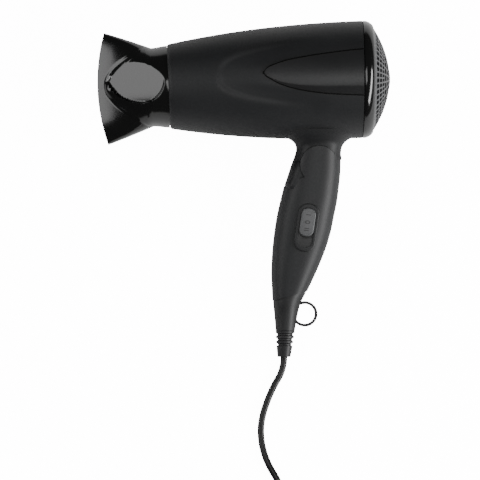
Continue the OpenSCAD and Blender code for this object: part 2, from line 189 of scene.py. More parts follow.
# The moulded surface: fine spark grain, broad sheen changes, and specks of dust lying on it.
moulded, given, made = effect(
    "moulded_surface",
    [("Vector", "NodeSocketVector", None), ("Colour", "NodeSocketColor", (0.05, 0.05, 0.05, 1)),
     ("Grain", "NodeSocketFloat", 2500), ("Roughness", "NodeSocketFloat", 0.5),
     ("Spread", "NodeSocketFloat", 0.06), ("Dust", "NodeSocketFloat", 0.2)],
    [("Colour", "NodeSocketColor"), ("Roughness", "NodeSocketFloat"), ("Height", "NodeSocketFloat")],
)
grain = add(moulded, "TexNoise", Detail=3, Roughness=0.6)
broad = add(moulded, "TexNoise", Scale=28, Detail=3, Roughness=0.55)
specks = add(moulded, "TexVoronoi", Scale=900)
speck_mask = add(moulded, "MapRange", **{"From Min": 0.09, "From Max": 0.03})
speck_patch = add(moulded, "MapRange", **{"From Min": 0.52, "From Max": 0.72})
speck_amount = add(moulded, "Math", operation="MULTIPLY")
dust_amount = add(moulded, "Math", operation="MULTIPLY")
shade = add(moulded, "MapRange", **{"From Min": 0.3, "From Max": 0.7, "To Min": 0.86, "To Max": 1.14})
tinted = add(moulded, "MixRGB", blend_type="MULTIPLY", Fac=1)
dusted = add(moulded, "MixRGB", Color2=(0.5, 0.49, 0.47, 1))
wander = add(moulded, "Math", operation="SUBTRACT")
wander.inputs[1].default_value = 0.5
spread = add(moulded, "Math", operation="MULTIPLY_ADD")
for start, end in (
    (given.outputs["Vector"], grain.inputs["Vector"]), (given.outputs["Vector"], broad.inputs["Vector"]),
    (given.outputs["Vector"], specks.inputs["Vector"]), (given.outputs["Grain"], grain.inputs["Scale"]),
    (specks.outputs["Distance"], speck_mask.inputs["Value"]),
    (broad.outputs["Fac"], speck_patch.inputs["Value"]),
    (speck_mask.outputs["Result"], speck_amount.inputs[0]),
    (speck_patch.outputs["Result"], speck_amount.inputs[1]),
    (speck_amount.outputs["Value"], dust_amount.inputs[0]), (given.outputs["Dust"], dust_amount.inputs[1]),
    (broad.outputs["Fac"], shade.inputs["Value"]), (given.outputs["Colour"], tinted.inputs["Color1"]),
    (shade.outputs["Result"], tinted.inputs["Color2"]), (tinted.outputs["Color"], dusted.inputs["Color1"]),
    (dust_amount.outputs["Value"], dusted.inputs["Fac"]), (dusted.outputs["Color"], made.inputs["Colour"]),
    (broad.outputs["Fac"], wander.inputs[0]), (wander.outputs["Value"], spread.inputs[0]),
    (given.outputs["Spread"], spread.inputs[1]), (given.outputs["Roughness"], spread.inputs[2]),
    (spread.outputs["Value"], made.inputs["Roughness"]), (grain.outputs["Fac"], made.inputs["Height"]),
):
    moulded.links.new(start, end)


def moulding(name, colour, roughness, grain_scale=2500, grain_depth=0.00002, spread=0.12, dust=0.25, **shader):
    """A moulded plastic, rubber or film; other settings go on the shader's own sockets."""
    material = bpy.data.materials.new(name)
    material.use_nodes = True
    tree = material.node_tree
    principled = tree.nodes["Principled BSDF"]
    surface = tree.nodes.new("ShaderNodeGroup")
    surface.node_tree = moulded
    surface.inputs["Colour"].default_value = (*colour, 1)
    surface.inputs["Roughness"].default_value = roughness
    surface.inputs["Grain"].default_value = grain_scale
    surface.inputs["Spread"].default_value = spread
    surface.inputs["Dust"].default_value = dust
    place = tree.nodes.new("ShaderNodeTexCoord")
    bump = tree.nodes.new("ShaderNodeBump")
    bump.inputs["Distance"].default_value = grain_depth
    tree.links.new(place.outputs["Object"], surface.inputs["Vector"])
    tree.links.new(surface.outputs["Colour"], principled.inputs["Base Color"])
    tree.links.new(surface.outputs["Roughness"], principled.inputs["Roughness"])
    tree.links.new(surface.outputs["Height"], bump.inputs["Height"])
    tree.links.new(bump.outputs["Normal"], principled.inputs["Normal"])
    for socket, value in shader.items():
        principled.inputs[socket.replace("_", " ")].default_value = value
    return material


cord_curve.materials.append(moulding(
    "cord_jacket", (0.004, 0.004, 0.004), 0.32, 900, 0.00003, dust=0.015, Specular_IOR_Level=0.25
))
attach(mains_cord, "handle")
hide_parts("cord_tube", "cord_coil", "cord_end")

# Table and studio light
# A plain white table top under the dryer, which glows for the camera alone and so comes out white.
# A broad panel hangs over it, one stands off past the nozzle, and a long one behind the handle
# draws the bright band down its back.
table_half = 4
table_glow = 14
white = bpy.data.materials.new("table_white")
white.use_nodes = True
white_tree = white.node_tree
white_shader = white_tree.nodes["Principled BSDF"]
white_shader.inputs["Base Color"].default_value = (0.86, 0.86, 0.86, 1)
white_shader.inputs["Roughness"].default_value = 0.7
white_shader.inputs["Emission Color"].default_value = (1, 1, 1, 1)
seen_only = add(white_tree, "LightPath")
glow = add(white_tree, "Math", operation="MULTIPLY")
glow.inputs[1].default_value = table_glow
white_tree.links.new(seen_only.outputs["Is Camera Ray"], glow.inputs[0])
white_tree.links.new(glow.outputs["Value"], white_shader.inputs["Emission Strength"])
table_mesh = bmesh.new()
bmesh.ops.create_grid(table_mesh, x_segments=1, y_segments=1, size=table_half)
table_data = bpy.data.meshes.new("table")
table_mesh.to_mesh(table_data)
table_mesh.free()
table_data.materials.append(white)
table = bpy.data.objects.new("table", table_data)
bpy.context.scene.collection.objects.link(table)
world = bpy.data.worlds.new("studio")
world.use_nodes = True
world.node_tree.nodes["Background"].inputs["Color"].default_value = (1, 1, 1, 1)
world.node_tree.nodes["Background"].inputs["Strength"].default_value = 0.1
bpy.context.scene.world = world


def panel(name, across_m, along_m, watts, toward):
    """A soft light of that size and power, toward mm off the dryer's middle and aimed at it."""
    lamp = bpy.data.lights.new(name, "AREA")
    lamp.shape = "RECTANGLE"
    lamp.size = across_m
    lamp.size_y = along_m
    lamp.energy = watts
    obj = bpy.data.objects.new(name, lamp)
    bpy.context.scene.collection.objects.link(obj)
    place = LAID @ (view_centre + Vector(toward))
    facing = (place - LAID @ view_centre).to_track_quat("Z", "Y")
    obj.matrix_world = Matrix.Translation(place) @ facing.to_matrix().to_4x4()


panel("overhead_panel", 0.8, 0.9, 10, (150, -1800, 250))
panel("nozzle_panel", 1.6, 0.8, 19, (-1350, -1100, 450))
panel("rear_panel", 1.9, 0.4, 56, (1450, -850, -350))

# Barrel shells
# Two moulded ABS half shells with a matte soft-touch coat, screwed together along the top and the
# bottom. They carry the neck, which drops into the handle and turns there on the hinge pin.
seam_r = 41.1
front_r = 29.6
barrel_l = 135.4
front_drop = 5.2
front_tilt = math.radians(2.4)
taper_power = 2.2
barrel_wall = 2.2
edge_round = 0.8
swoosh_tip = Vector((-100, 0, 1.6))
swoosh_upper = (5.85, 0.346)
swoosh_lower = (6.27, 0.302)
swoosh_depth = 1.3
swoosh_width = 5.5
swoosh_relief = 26
swoosh_left = 0.35
swoosh_fade_x = -66
swoosh_fade = 44
swoosh_side = 20
hinge = Vector((-30.4, 0, -60.1))
ear_r = 13.3
ear_gap = 0.3
ear_room_y = 17.8
boss_r = 12.6
boss_half = 11.5
charcoal = (0.0075, 0.0077, 0.0085)
shell_material = moulding(
    "soft_touch", charcoal, 0.52, 2600, 0.00002, spread=0.1, dust=0.012, Specular_IOR_Level=0.28
)


def skinned(around, along, shape):
    """A grid bent into a skin: shape(turn, way) gives each point, both from 0 to 1."""
    bm = bmesh.new()
    bmesh.ops.create_grid(bm, x_segments=around, y_segments=along, size=0.5)
    for vert in bm.verts:
        vert.co = shape(vert.co.x + 0.5, vert.co.y + 0.5)
    bmesh.ops.remove_doubles(bm, verts=bm.verts, dist=0.001)
    return bm


def closed(bm):
    """Fills the open ends and turns the faces outward."""
    bmesh.ops.holes_fill(bm, edges=[edge for edge in bm.edges if edge.is_boundary], sides=0)
    bmesh.ops.recalc_face_normals(bm, faces=bm.faces)
    return bm


def finished(bm, name, place, material, crease=32):
    """The mesh as an object in its place, smooth but for edges sharper than crease degrees."""
    bmesh.ops.remove_doubles(bm, verts=bm.verts, dist=0.0005)
    bm.transform(place)
    for face in bm.faces:
        face.smooth = True
    for edge in bm.edges:
        if len(edge.link_faces) != 2 or edge.calc_face_angle() > math.radians(crease):
            edge.smooth = False
    mesh = bpy.data.meshes.new(name)
    bm.to_mesh(mesh)
    bm.free()
    mesh.materials.append(material)
    obj = bpy.data.objects.new(name, mesh)
    bpy.context.scene.collection.objects.link(obj)
    return obj


def joined(bm, *others):
    """Adds the other meshes to bm as further solids."""
    for other in others:
        spare = bpy.data.meshes.new("spare")
        other.to_mesh(spare)
        other.free()
        bm.from_mesh(spare)
        bpy.data.meshes.remove(spare)
    return bm


def along_curve(points, x):
    """The height at x of a smooth curve through points, which go up in x."""
    last = len(points) - 1
    k = max(i for i in range(last) if x >= points[i][0] or i == 0)
    (x0, y0), (x1, y1) = points[k], points[k + 1]
    before, after = points[max(k - 1, 0)], points[min(k + 2, last)]
    run = x1 - x0
    start_slope = (y1 - before[1]) / (x1 - before[0])
    end_slope = (after[1] - y0) / (after[0] - x0)
    t = min(max((x - x0) / run, 0), 1)
    return (
        y0 + t * run * start_slope
        + t * t * (3 * (y1 - y0) - run * (2 * start_slope + end_slope))
        + t ** 3 * (2 * (y0 - y1) + run * (start_slope + end_slope))
    )


def barrel_r(way):
    return seam_r - (seam_r - front_r) * way ** taper_power


def barrel_point(turn, way, inset):
    """A point of the outside: turn goes round from the top, way from the rear seam to the front."""
    tilt = front_tilt * way
    angle = 2 * math.pi * turn
    radius = barrel_r(way) - inset
    high = radius * math.cos(angle)
    return Vector((
        -barrel_l * way - high * math.sin(tilt),
        radius * math.sin(angle),
        -front_drop * way + high * math.cos(tilt),
    ))


def barrel_side(x, z):
    """How far the barrel's side stands from the middle plane at x and z."""
    way = min(max(-x / barrel_l, 0), 1)
    centre = -front_drop * way
    return math.sqrt(max(barrel_r(way) ** 2 - (z - centre) ** 2, 0))


def swoosh_in(point):
    """How far the side is sunk at a point: a soft step round a rounded nose, gone toward the rear."""
    high = point.z - swoosh_tip.z
    reach, power = swoosh_upper if high > 0 else swoosh_lower
    nose = (abs(high) / reach) ** (1 / power)
    steep = nose / power / max(abs(high), 0.5)
    inside = (point.x - swoosh_tip.x - nose) / math.sqrt(1 + steep * steep)
    fade = 1 - smooth_step((point.x - swoosh_fade_x) / swoosh_fade)
    hollow = swoosh_depth * smooth_step(inside / swoosh_width + 0.5)
    relief = 1 - smooth_step((inside - swoosh_width) / swoosh_relief)
    return hollow * fade * (swoosh_left + (1 - swoosh_left) * relief)


def barrel_skin(turn, way):
    """The outside with its rounded front edge and its sunk sides."""
    rounded = max(0, 1 - (1 - way) * barrel_l / edge_round)
    point = barrel_point(turn, way, edge_round * (1 - math.sqrt(1 - rounded ** 2)))
    sunk = swoosh_in(point) * min(1, abs(point.y) / swoosh_side)
    return point - Vector((0, math.copysign(sunk, point.y), 0))


shells = skinned(208, 110, barrel_skin)
bmesh.ops.recalc_face_normals(shells, faces=shells.faces)
bmesh.ops.solidify(shells, geom=shells.faces, thickness=barrel_wall)


def oval(front, rear, half_t, height, turn, power=2.5):
    """A point of a rounded cross-section between a front and a rear edge."""
    angle = 2 * math.pi * turn
    c, s = math.cos(angle), math.sin(angle)
    return Vector((
        (front + rear) / 2 + (rear - front) / 2 * math.copysign(abs(c) ** (2 / power), c),
        half_t * math.copysign(abs(s) ** (2 / power), s),
        height,
    ))


def rows_at(table, place):
    """Every further column of a table at that place of its first column."""
    columns = range(1, len(table[0]))
    return [along_curve([(row[0], row[column]) for row in table], place) for column in columns]


# [height, front, rear, half thickness]
neck = [
    (-77, -52.6, -45, 13.9), (-74.6, -54.2, -41, 14.8), (-70, -52.9, -36, 14.9), (-62.2, -50.4, -30, 14.9),
    (-58.4, -49.1, -22, 14.9), (-57.2, -48.6, -15.2, 14.9), (-52, -46.8, -14.7, 14.9),
    (-48.4, -46.2, -14.2, 15), (-45.4, -47, -12.8, 15.1), (-42.9, -49.4, -10.3, 16.2),
    (-40.6, -53.6, -6.3, 18.2), (-38, -60, 0, 21), (-35, -64, 4, 23)
]


def neck_skin(turn, way):
    height = neck[0][0] + (neck[-1][0] - neck[0][0]) * way
    return oval(*rows_at(neck, height), height, turn)


def cut(bm, *cutters):
    """Takes the cutters away from the mesh."""
    spare = [bpy.data.meshes.new("spare") for _ in range(1 + len(cutters))]
    objs = [bpy.data.objects.new("spare", mesh) for mesh in spare]
    for mesh, source, obj in zip(spare, (bm, *cutters), objs):
        source.to_mesh(mesh)
        source.free()
        bpy.context.scene.collection.objects.link(obj)
        if obj != objs[0]:
            carve = objs[0].modifiers.new("carve", "BOOLEAN")
            carve.operation = "DIFFERENCE"
            carve.solver = "EXACT"
            carve.object = obj
    result = bmesh.new()
    result.from_object(objs[0], bpy.context.evaluated_depsgraph_get())
    for obj in objs:
        bpy.data.objects.remove(obj)
    for mesh in spare:
        bpy.data.meshes.remove(mesh)
    return result


def turned_disc(radius, half_t, centre, rounding=0.8, sides=64):
    """A solid disc across the dryer with rounded rims."""
    bm = bmesh.new()
    bmesh.ops.create_cone(bm, cap_ends=True, segments=sides, radius1=radius, radius2=radius, depth=2 * half_t)
    rims = [edge for edge in bm.edges if abs(edge.verts[0].co.z - edge.verts[1].co.z) < 0.001]
    bmesh.ops.bevel(bm, geom=rims, offset=rounding, segments=3, profile=0.5, affect="EDGES", material=-1)
    bm.transform(Matrix.Translation(centre) @ Matrix.Rotation(math.pi / 2, 4, "X"))
    return bm


pivot_boss = turned_disc(boss_r, boss_half, hinge)
ear_room = [
    turned_disc(ear_r + ear_gap, 6, hinge + Vector((0, y, 0)), rounding=0.2) for y in (-ear_room_y, ear_room_y)
]
shells = joined(shells, cut(closed(skinned(72, 64, neck_skin)), *ear_room), pivot_boss)
barrel_shells = finished(shells, "barrel_shells", LAID, shell_material, crease=50)
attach(barrel_shells, "barrel")
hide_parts("body_shell_left", "body_shell_right")

# Side inlays
# A thin satin ABS trim glued into each shell, pointed toward the nozzle and open to the rear ring,
# with a chamfer along its lower edge. A fine seam runs round it, and its shade is painted by a
# slightly larger near-black copy of the trim lying under it.
inlay_top = [
    (-69.4, 3.3), (-67.6, 5.9), (-64.5, 7.8), (-53.9, 11.5), (-43.4, 13.7),
    (-29.5, 16), (-12.2, 18.3), (-0.3, 19.5)
]
inlay_low = [
    (-69.4, 3.3), (-67.6, 1), (-64.5, -0.8), (-58.6, -4), (-47, -7.6),
    (-29.5, -10.4), (-14, -11.4), (-0.3, -11.9)
]
inlay_fold = [
    (-69.4, 3.3), (-67.6, 1.4), (-64.5, -0.2), (-58.6, -3), (-47, -5.3),
    (-29.5, -6.4), (-14, -6.4), (-0.3, -6.4)
]
inlay_proud = 0.5
fold_proud = 1.4
chamfer_share = 0.22
chamfer_l = 5.5
chamfer_foot = 0.1
inlay_sunk = 0.9
tip_bunching = 1.8
# The near-black copy round each trim is a painted shadow in the seam: how much wider it is, and how far off the
# shell.
painted_shadow_grow = 0.8
painted_shadow_proud = 0.12
inlay_material = moulding(
    "satin_inlay", (0.0075, 0.0075, 0.008), 0.4, 1800, 0.00002, spread=0.08, dust=0.012, Specular_IOR_Level=0.35
)
# Near-black matte finish for that copy: painted shade, not a colour the dryer has.
painted_shadow_material = moulding("painted_shadow_seam", (0.002, 0.002, 0.002), 0.8, dust=0, Specular_IOR_Level=0.05)


def inlay(side, grow, proud, folded):
    """The trim on one side, -1 for the left. Grow widens its outline, folded lifts its fold."""
    def skin(turn, way):
        x = inlay_top[0][0] - grow + (inlay_top[-1][0] - inlay_top[0][0] + grow) * way ** tip_bunching
        reach = min(max(x, inlay_top[0][0]), inlay_top[-1][0])
        top = along_curve(inlay_top, reach) + grow
        fold = along_curve(inlay_fold, reach)
        low = along_curve(inlay_low, reach) - grow
        fold_lift = proud + folded * min((fold - low) / chamfer_l, 1)
        if turn < chamfer_share:
            z = low + (fold - low) * turn / chamfer_share
            lift = chamfer_foot + (fold_lift - chamfer_foot) * turn / chamfer_share
        else:
            share = (turn - chamfer_share) / (1 - chamfer_share)
            z = fold + (top - fold) * share
            lift = fold_lift + (proud - fold_lift) * smooth_step(share)
        return Vector((x, side * (barrel_side(x, z) + lift), z))
    bm = skinned(36, 60, skin)
    if side > 0:
        bmesh.ops.reverse_faces(bm, faces=bm.faces)
    rim = [edge for edge in bm.edges if edge.is_boundary]
    wall = bmesh.ops.extrude_edge_only(bm, edges=rim)["geom"]
    for vert in wall:
        if isinstance(vert, bmesh.types.BMVert):
            vert.co.y -= side * (proud + inlay_sunk)
    return closed(bm)


for side, name in ((-1, "left"), (1, "right")):
    trim = finished(inlay(side, 0, inlay_proud, fold_proud), "side_inlay_" + name, LAID, inlay_material)
    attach(trim, "barrel")
    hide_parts("side_trim_" + name)
    # A larger near-black copy just off the shell's face, as a painted shadow round the trim.
    painted_shadow_strip = finished(inlay(side, painted_shadow_grow, painted_shadow_proud, 0), "side_inlay_painted_shadow_" + name, LAID, painted_shadow_material)
    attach(painted_shadow_strip, "barrel")

# Rear ring
# A gloss black moulded ring, clipped over the shells' rear edge, with a full round outer corner. It
# holds the inlet grille.
ring_depth = 7.8
grille_r = 36.3
gloss_material = moulding(
    "gloss_black", (0.003, 0.003, 0.003), 0.14, 1400, 0.000004, spread=0.05, dust=0.01, Specular_IOR_Level=0.45
)
ring_profile = [
    (40.4, 0.2), (40.95, 0.45), (41.1, 1.1), (41, 2.4), (40.5, 4), (39.7, 5.5), (38.6, 6.8), (37.5, 7.6),
    (36.6, 7.8), (36, 7.6), (35.8, 7), (35.6, 2), (35.8, 0.2)
]


def spun(profile, steps=96, shut=True):
    """A profile of (radius, way) points spun about the local Z axis."""
    bm = bmesh.new()
    verts = [bm.verts.new((radius, 0, way)) for radius, way in profile]
    edges = [bm.edges.new(pair) for pair in zip(verts, verts[1:] + verts[:1] if shut else verts[1:])]
    bmesh.ops.spin(
        bm, geom=verts + edges, cent=(0, 0, 0), axis=(0, 0, 1), angle=2 * math.pi, steps=steps, use_merge=True
    )
    bmesh.ops.remove_doubles(bm, verts=bm.verts, dist=0.001)
    bmesh.ops.recalc_face_normals(bm, faces=bm.faces)
    return bm


REAR = axes(upward, -across, rearward)
rear_ring = finished(spun(ring_profile, 128), "rear_ring", REAR, gloss_material, crease=40)
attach(rear_ring, "barrel")
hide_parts("rear_trim_ring")

# Inlet grille
# A domed ABS grille of radial ribs and concentric hoops, moulded in one piece and snapped into the
# rear ring. Half of the ribs stop at the middle hoop.
dome_h = 11.6
hoop_r = [34.9, 30.9, 26.8, 22.8, 18.6, 14.4, 10.4, 6.5]
full_ribs = 52
middle_hoop = 3
rib_half = 0.55
grille_t = 1.6
grille_material = moulding("grille_grey", (0.05, 0.051, 0.053), 0.42, 1800, 0.00002, spread=0.1, dust=0.02)


def dome(radius):
    return ring_depth + dome_h * (1 - (radius / grille_r) ** 2)


def grille_zone(radii, ribs):
    """Part of the dome, with the panes between its hoops and ribs cut out."""
    bm = spun([(radius, dome(radius)) for radius in radii], ribs, shut=False)
    panes = list(bm.faces)
    bmesh.ops.inset_individual(bm, faces=panes, thickness=rib_half, use_even_offset=True)
    bmesh.ops.delete(bm, geom=panes, context="FACES")
    return bm


grille = grille_zone(hoop_r[:middle_hoop + 1], full_ribs)
grille = joined(grille, grille_zone(hoop_r[middle_hoop:], full_ribs // 2))
hub_profile = [
    (hoop_r[-1] + 0.3, dome(hoop_r[-1]) + 0.1), (4, dome(4) + 0.3), (2, dome(2) + 0.4), (0, dome(0) + 0.4)
]
hub = spun(hub_profile, full_ribs, shut=False)
rim_profile = [(grille_r, ring_depth - 0.6), (36.1, ring_depth + 0.1), (34.5, dome(34.5))]
rim = spun(rim_profile, 2 * full_ribs, shut=False)
grille = joined(grille, hub, rim)
bmesh.ops.recalc_face_normals(grille, faces=grille.faces)
for face in grille.faces:
    if face.normal.z < 0:
        face.normal_flip()
bmesh.ops.solidify(grille, geom=grille.faces, thickness=grille_t)
inlet_grille = finished(grille, "rear_grille", REAR, grille_material, crease=30)
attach(inlet_grille, "barrel")
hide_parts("inlet_grille")

# Nozzle
# A gloss black fishtail nozzle, moulded in polyamide, whose skirt plugs into the barrel's mouth. The
# cone of its collar runs out as a raised tongue with a thumb pad on each side, and two flat wings
# widen it to the slot.
collar_z = 135.65
waist_z = 147
lip_z = 179.2
lip_bow = 6
lip_half = 39.2
lip_t = 8.5
collar_r = 28.7
waist_r = 27.5
nozzle_wall = 1.6
shoulder_r = 27.15
skirt_r = 25.6
skirt_wall = 1.4
skirt_z = 130
skirt_top = 3
slot_growth = 1.08
wing_t = 21
wing_power = 2.5
square_l = 16
square_share = 0.25
tongue_end = 180.2
tongue_gain = 4.75
tongue_power = 0.52
tongue_flare = 0.35
tongue_edge = 1.8
tongue_proud = 0.5
tongue_over = 0.6
pad_centre = Vector((153.9, 4.4))
pad_r = 15.6
pad_end = 177.4
pad_rear = 138.3
pad_level = 28
pad_slope = 0.455
pad_curve = 95
pad_power = 0.7
pad_edge = 1.2
tongue_shift = 2.5
nozzle_material = moulding(
    "nozzle_gloss", (0.003, 0.003, 0.003), 0.13, 1400, 0.000004, spread=0.05, dust=0.01, Specular_IOR_Level=0.45
)


def nozzle_half(z):
    """Half of the nozzle's height at z along the bore."""
    if z <= waist_z:
        return collar_r + (waist_r - collar_r) * smooth_step((z - collar_z) / (waist_z - collar_z))
    t = (z - waist_z) / (lip_z - waist_z)
    return waist_r + (lip_half - waist_r) * t * (slot_growth - (slot_growth - 1) * t)


def tongue_half(z):
    """Half of the tongue's width at z along the bore."""
    return min(tongue_gain * max(tongue_end - z, 0) ** tongue_power, waist_r)


def nozzle_side(way, high, z):
    """How far the side stands out: way is the plain distance along the bore, z the bowed one."""
    half = nozzle_half(way)
    share = min(abs(high) / half, 1)
    t = min(max((way - waist_z) / (lip_z - waist_z), 0), 1)
    power = 2 + wing_power * smooth_step(t * 1.3)
    wing = (wing_t + (lip_t - wing_t) * t) * (1 - share ** power) ** (1 / power)
    tongue = tongue_half(z)
    spread = tongue * (1 + tongue_flare * smooth_step(t * 2)) + 0.001
    crown = waist_r + (lip_t + tongue_over - waist_r) * t
    body = crown * math.sqrt(max(1 - (high / max(spread, abs(high))) ** 2, 0))
    raised = smooth_step((tongue - abs(high - tongue_shift * t)) / tongue_edge + 0.5)
    side = wing + (max(body, wing) - wing) * raised + tongue_proud * raised * smooth_step(t * 6)
    if way <= waist_z:
        side = half * math.sqrt(1 - share * share)
    along = z - pad_centre.x
    up_down = abs(high - pad_centre.y)
    if along < 0:
        inside = pad_r - math.hypot(along, up_down)
    else:
        inside = pad_r * max(1 - (along / (pad_end - pad_centre.x)) ** 2, 0) ** pad_power - up_down
    flat = pad_level - pad_slope * (z - pad_rear) - up_down ** 2 / (2 * pad_curve)
    return side - max(side - flat, 0) * smooth_step(inside / pad_edge + 0.5)


def nozzle_skin(turn, way):
    angle = 2 * math.pi * turn
    plain = collar_z + (lip_z - collar_z) * way
    half = nozzle_half(plain)
    c, s = math.cos(angle), math.sin(angle)
    squared = smooth_step((plain - waist_z) / square_l)
    high = half * math.copysign(abs(c) ** (1 - square_share * squared), c)
    z = plain + lip_bow * smooth_step((plain - waist_z) / (lip_z - waist_z)) * (1 - (high / half) ** 2)
    return Vector((high, math.copysign(nozzle_side(plain, high, z), s) if abs(s) > 0.0001 else 0, z))


nozzle = skinned(256, 110, nozzle_skin)
bmesh.ops.recalc_face_normals(nozzle, faces=nozzle.faces)
bmesh.ops.solidify(nozzle, geom=nozzle.faces, thickness=nozzle_wall)
skirt = spun([
    (shoulder_r, collar_z + skirt_top), (shoulder_r, collar_z - 1.6), (skirt_r, collar_z - 2),
    (skirt_r, skirt_z), (skirt_r - skirt_wall, skirt_z), (skirt_r - skirt_wall, collar_z + skirt_top)
])
nozzle = joined(nozzle, skirt)
fishtail = finished(nozzle, "fishtail_nozzle", BORE, nozzle_material, crease=40)
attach(fishtail, "nozzle_body")
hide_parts("nozzle")

# Handle shells
# Two soft-touch half shells, screwed together, with round ears at the top that hold the hinge pin.
# Their upper edge follows the ears over the neck, and their lower edge runs slanted into the boot.
# [height, front, rear, half thickness]
handle = [
    (-162, -62.4, -45, 11.2), (-158, -62.5, -43, 11.6), (-148, -63.1, -38.1, 12.6), (-135, -63.6, -32, 13.8),
    (-120, -62.9, -25.8, 14.9), (-107, -61.5, -21.8, 15.6), (-95, -59.6, -19.3, 16.1), (-85, -57.3, -17.3, 16.4),
    (-75, -54.8, -16, 16.5), (-66, -52.6, -15.1, 16.5), (-56, -50.4, -14.8, 16.5), (-44, -48, -14.6, 16.5)
]
seam_front = (-54.6, -74.9)
seam_cusp = 219.6
seam_rear = 15.6
boot_seam = [(-62.7, -154.9), (-38.1, -148.2)]
half_gap = 0.06
handle_wall = 1.3
ear_disc_r = 7
ear_disc_y = 13.4
handle_material = moulding(
    "handle_soft_touch", charcoal, 0.5, 2600, 0.00002, spread=0.1, dust=0.012, Specular_IOR_Level=0.32
)


def handle_skin(turn, way):
    height = handle[0][0] + (handle[-1][0] - handle[0][0]) * way
    return oval(*rows_at(handle, height), height, turn)


def handle_hollow(turn, way):
    """The room inside, 1 mm longer than the handle at each end."""
    height = handle[0][0] - 1 + (handle[-1][0] - handle[0][0] + 2) * way
    front, rear, half_t = rows_at(handle, height)
    return oval(front + handle_wall, rear - handle_wall, half_t - handle_wall, height, turn)


def prism(outline, y_from, y_to):
    """A solid across the dryer with that side outline of (x, z) points."""
    bm = bmesh.new()
    face = bm.faces.new([bm.verts.new((x, y_from, z)) for x, z in outline])
    pushed = bmesh.ops.extrude_face_region(bm, geom=[face])["geom"]
    moved = [item for item in pushed if isinstance(item, bmesh.types.BMVert)]
    bmesh.ops.translate(bm, verts=moved, vec=(0, y_to - y_from, 0))
    bmesh.ops.recalc_face_normals(bm, faces=bm.faces)
    return bm


def arc(centre, radius, start, end, steps):
    """Points of (x, z) on an arc from start to end degrees."""
    return [
        (centre.x + radius * math.cos(turn), centre.z + radius * math.sin(turn))
        for turn in (math.radians(start + (end - start) * k / steps) for k in range(steps + 1))
    ]


ear_arc = arc(hinge, ear_r, seam_cusp, seam_rear, 28)
above_seam = [(-80, -86), seam_front] + ear_arc + [(-14, -57.2), (0, -57), (0, -30), (-80, -30)]
switch_at = Vector((-39.1, 0, -103.8))
switch_lean = math.radians(8.4)
slot_l = 27.8
slot_w = 10.8
face_y = -15.4
SWITCH = Matrix.Translation(switch_at + Vector((0, face_y, 0))) @ Matrix.Rotation(switch_lean, 4, "Y")


def switch_block(width, length, depth, corner, rim, middle=(0, 0, 0)):
    """A block with round corners and rims on the switch's own axes, its middle on the handle's face."""
    bm = bmesh.new()
    bmesh.ops.create_cube(bm, size=1, matrix=Matrix.Diagonal((width, depth, length, 1)))
    upright = [edge for edge in bm.edges if abs(edge.verts[0].co.y - edge.verts[1].co.y) > 0.01]
    bmesh.ops.bevel(bm, geom=upright, offset=corner, segments=8, profile=0.5, affect="EDGES", material=-1)
    if rim:
        front = [edge for edge in bm.edges if all(vert.co.y < -depth / 2 + 0.001 for vert in edge.verts)]
        bmesh.ops.bevel(bm, geom=front, offset=rim, segments=4, profile=0.5, affect="EDGES", material=-1)
    bm.transform(SWITCH @ Matrix.Translation(middle))
    return bm


def half_shell(side):
    """The half on the side y * side > 0, hollow inside and cut along the seams."""
    hollow = closed(skinned(64, 64, handle_hollow))
    bm = cut(closed(skinned(96, 128, handle_skin)), prism(above_seam, -30, 30), hollow)
    if side < 0:
        bm = cut(bm, switch_block(slot_w, slot_l, 9, 5.2, 0))
    (x0, z0), (x1, z1) = boot_seam
    seam_normal = Vector((x1 - x0, 0, z1 - z0)).cross(Vector((0, 1, 0)))
    for point, normal in (((x0, 0, z0), seam_normal), ((0, half_gap * side, 0), (0, side, 0))):
        everything = bm.verts[:] + bm.edges[:] + bm.faces[:]
        bmesh.ops.bisect_plane(bm, geom=everything, plane_co=point, plane_no=normal, clear_inner=True)
    return closed(bm)


for side, name in ((-1, "left"), (1, "right")):
    ear = turned_disc(ear_disc_r, 1.5, hinge + Vector((0, side * ear_disc_y, 0)), rounding=0.4)
    half = joined(half_shell(side), ear)
    shell = finished(half, "handle_half_" + name, LAID, handle_material, crease=35)
    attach(shell, "handle")
    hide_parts("handle_shell_" + name)

# Slide switch
# A moulded bezel stands round the slot in the left shell. The knob slides 7.4 mm down in it, from off
# through low to high, and carries its three marks as raised bars and a ring.
knob_l = 20
knob_w = 10.3
knob_high = 3.7
knob_top = -2.45
mark_r = 1.2
knob_material = moulding("slider_grey", (0.045, 0.046, 0.048), 0.42, 1600, 0.00002, spread=0.1, dust=0.02)
mark_material = moulding("mark_dark", (0.008, 0.008, 0.008), 0.6, 1600, 0.00001, dust=0.01)
bezel = cut(
    switch_block(15, 34, 3, 7, 1, (0, 0.1, 0)), switch_block(slot_w + 0.2, slot_l + 0.2, 9, 5.2, 0)
)
switch_bezel = finished(bezel, "switch_bezel", LAID, handle_material, crease=35)
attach(switch_bezel, "handle")
knob = switch_block(knob_w, knob_l, 4.6, 4.6, 0.9, (0, -0.1, knob_high))
grips = [switch_block(8.2, 0.5, 0.5, 0.2, 0, (0, knob_top, knob_high + k)) for k in (-8.2, -7.2, 7.2, 8.2)]
switch_knob = finished(joined(knob, *grips), "switch_knob", LAID, knob_material, crease=35)
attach(switch_knob, "slider")
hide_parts("switch_slider")


def mark_ring(middle):
    """A flat oval ring on the switch's own axes."""
    bm = bmesh.new()
    for radius in (mark_r, 0.75):
        bmesh.ops.create_circle(bm, segments=24, radius=radius)
    bmesh.ops.scale(bm, vec=(1.5, 1, 1), verts=bm.verts)
    bmesh.ops.bridge_loops(bm, edges=bm.edges)
    bmesh.ops.solidify(bm, geom=bm.faces, thickness=0.2)
    bmesh.ops.recalc_face_normals(bm, faces=bm.faces)
    bm.transform(SWITCH @ Matrix.Translation(middle) @ Matrix.Rotation(math.pi / 2, 4, "X"))
    return bm


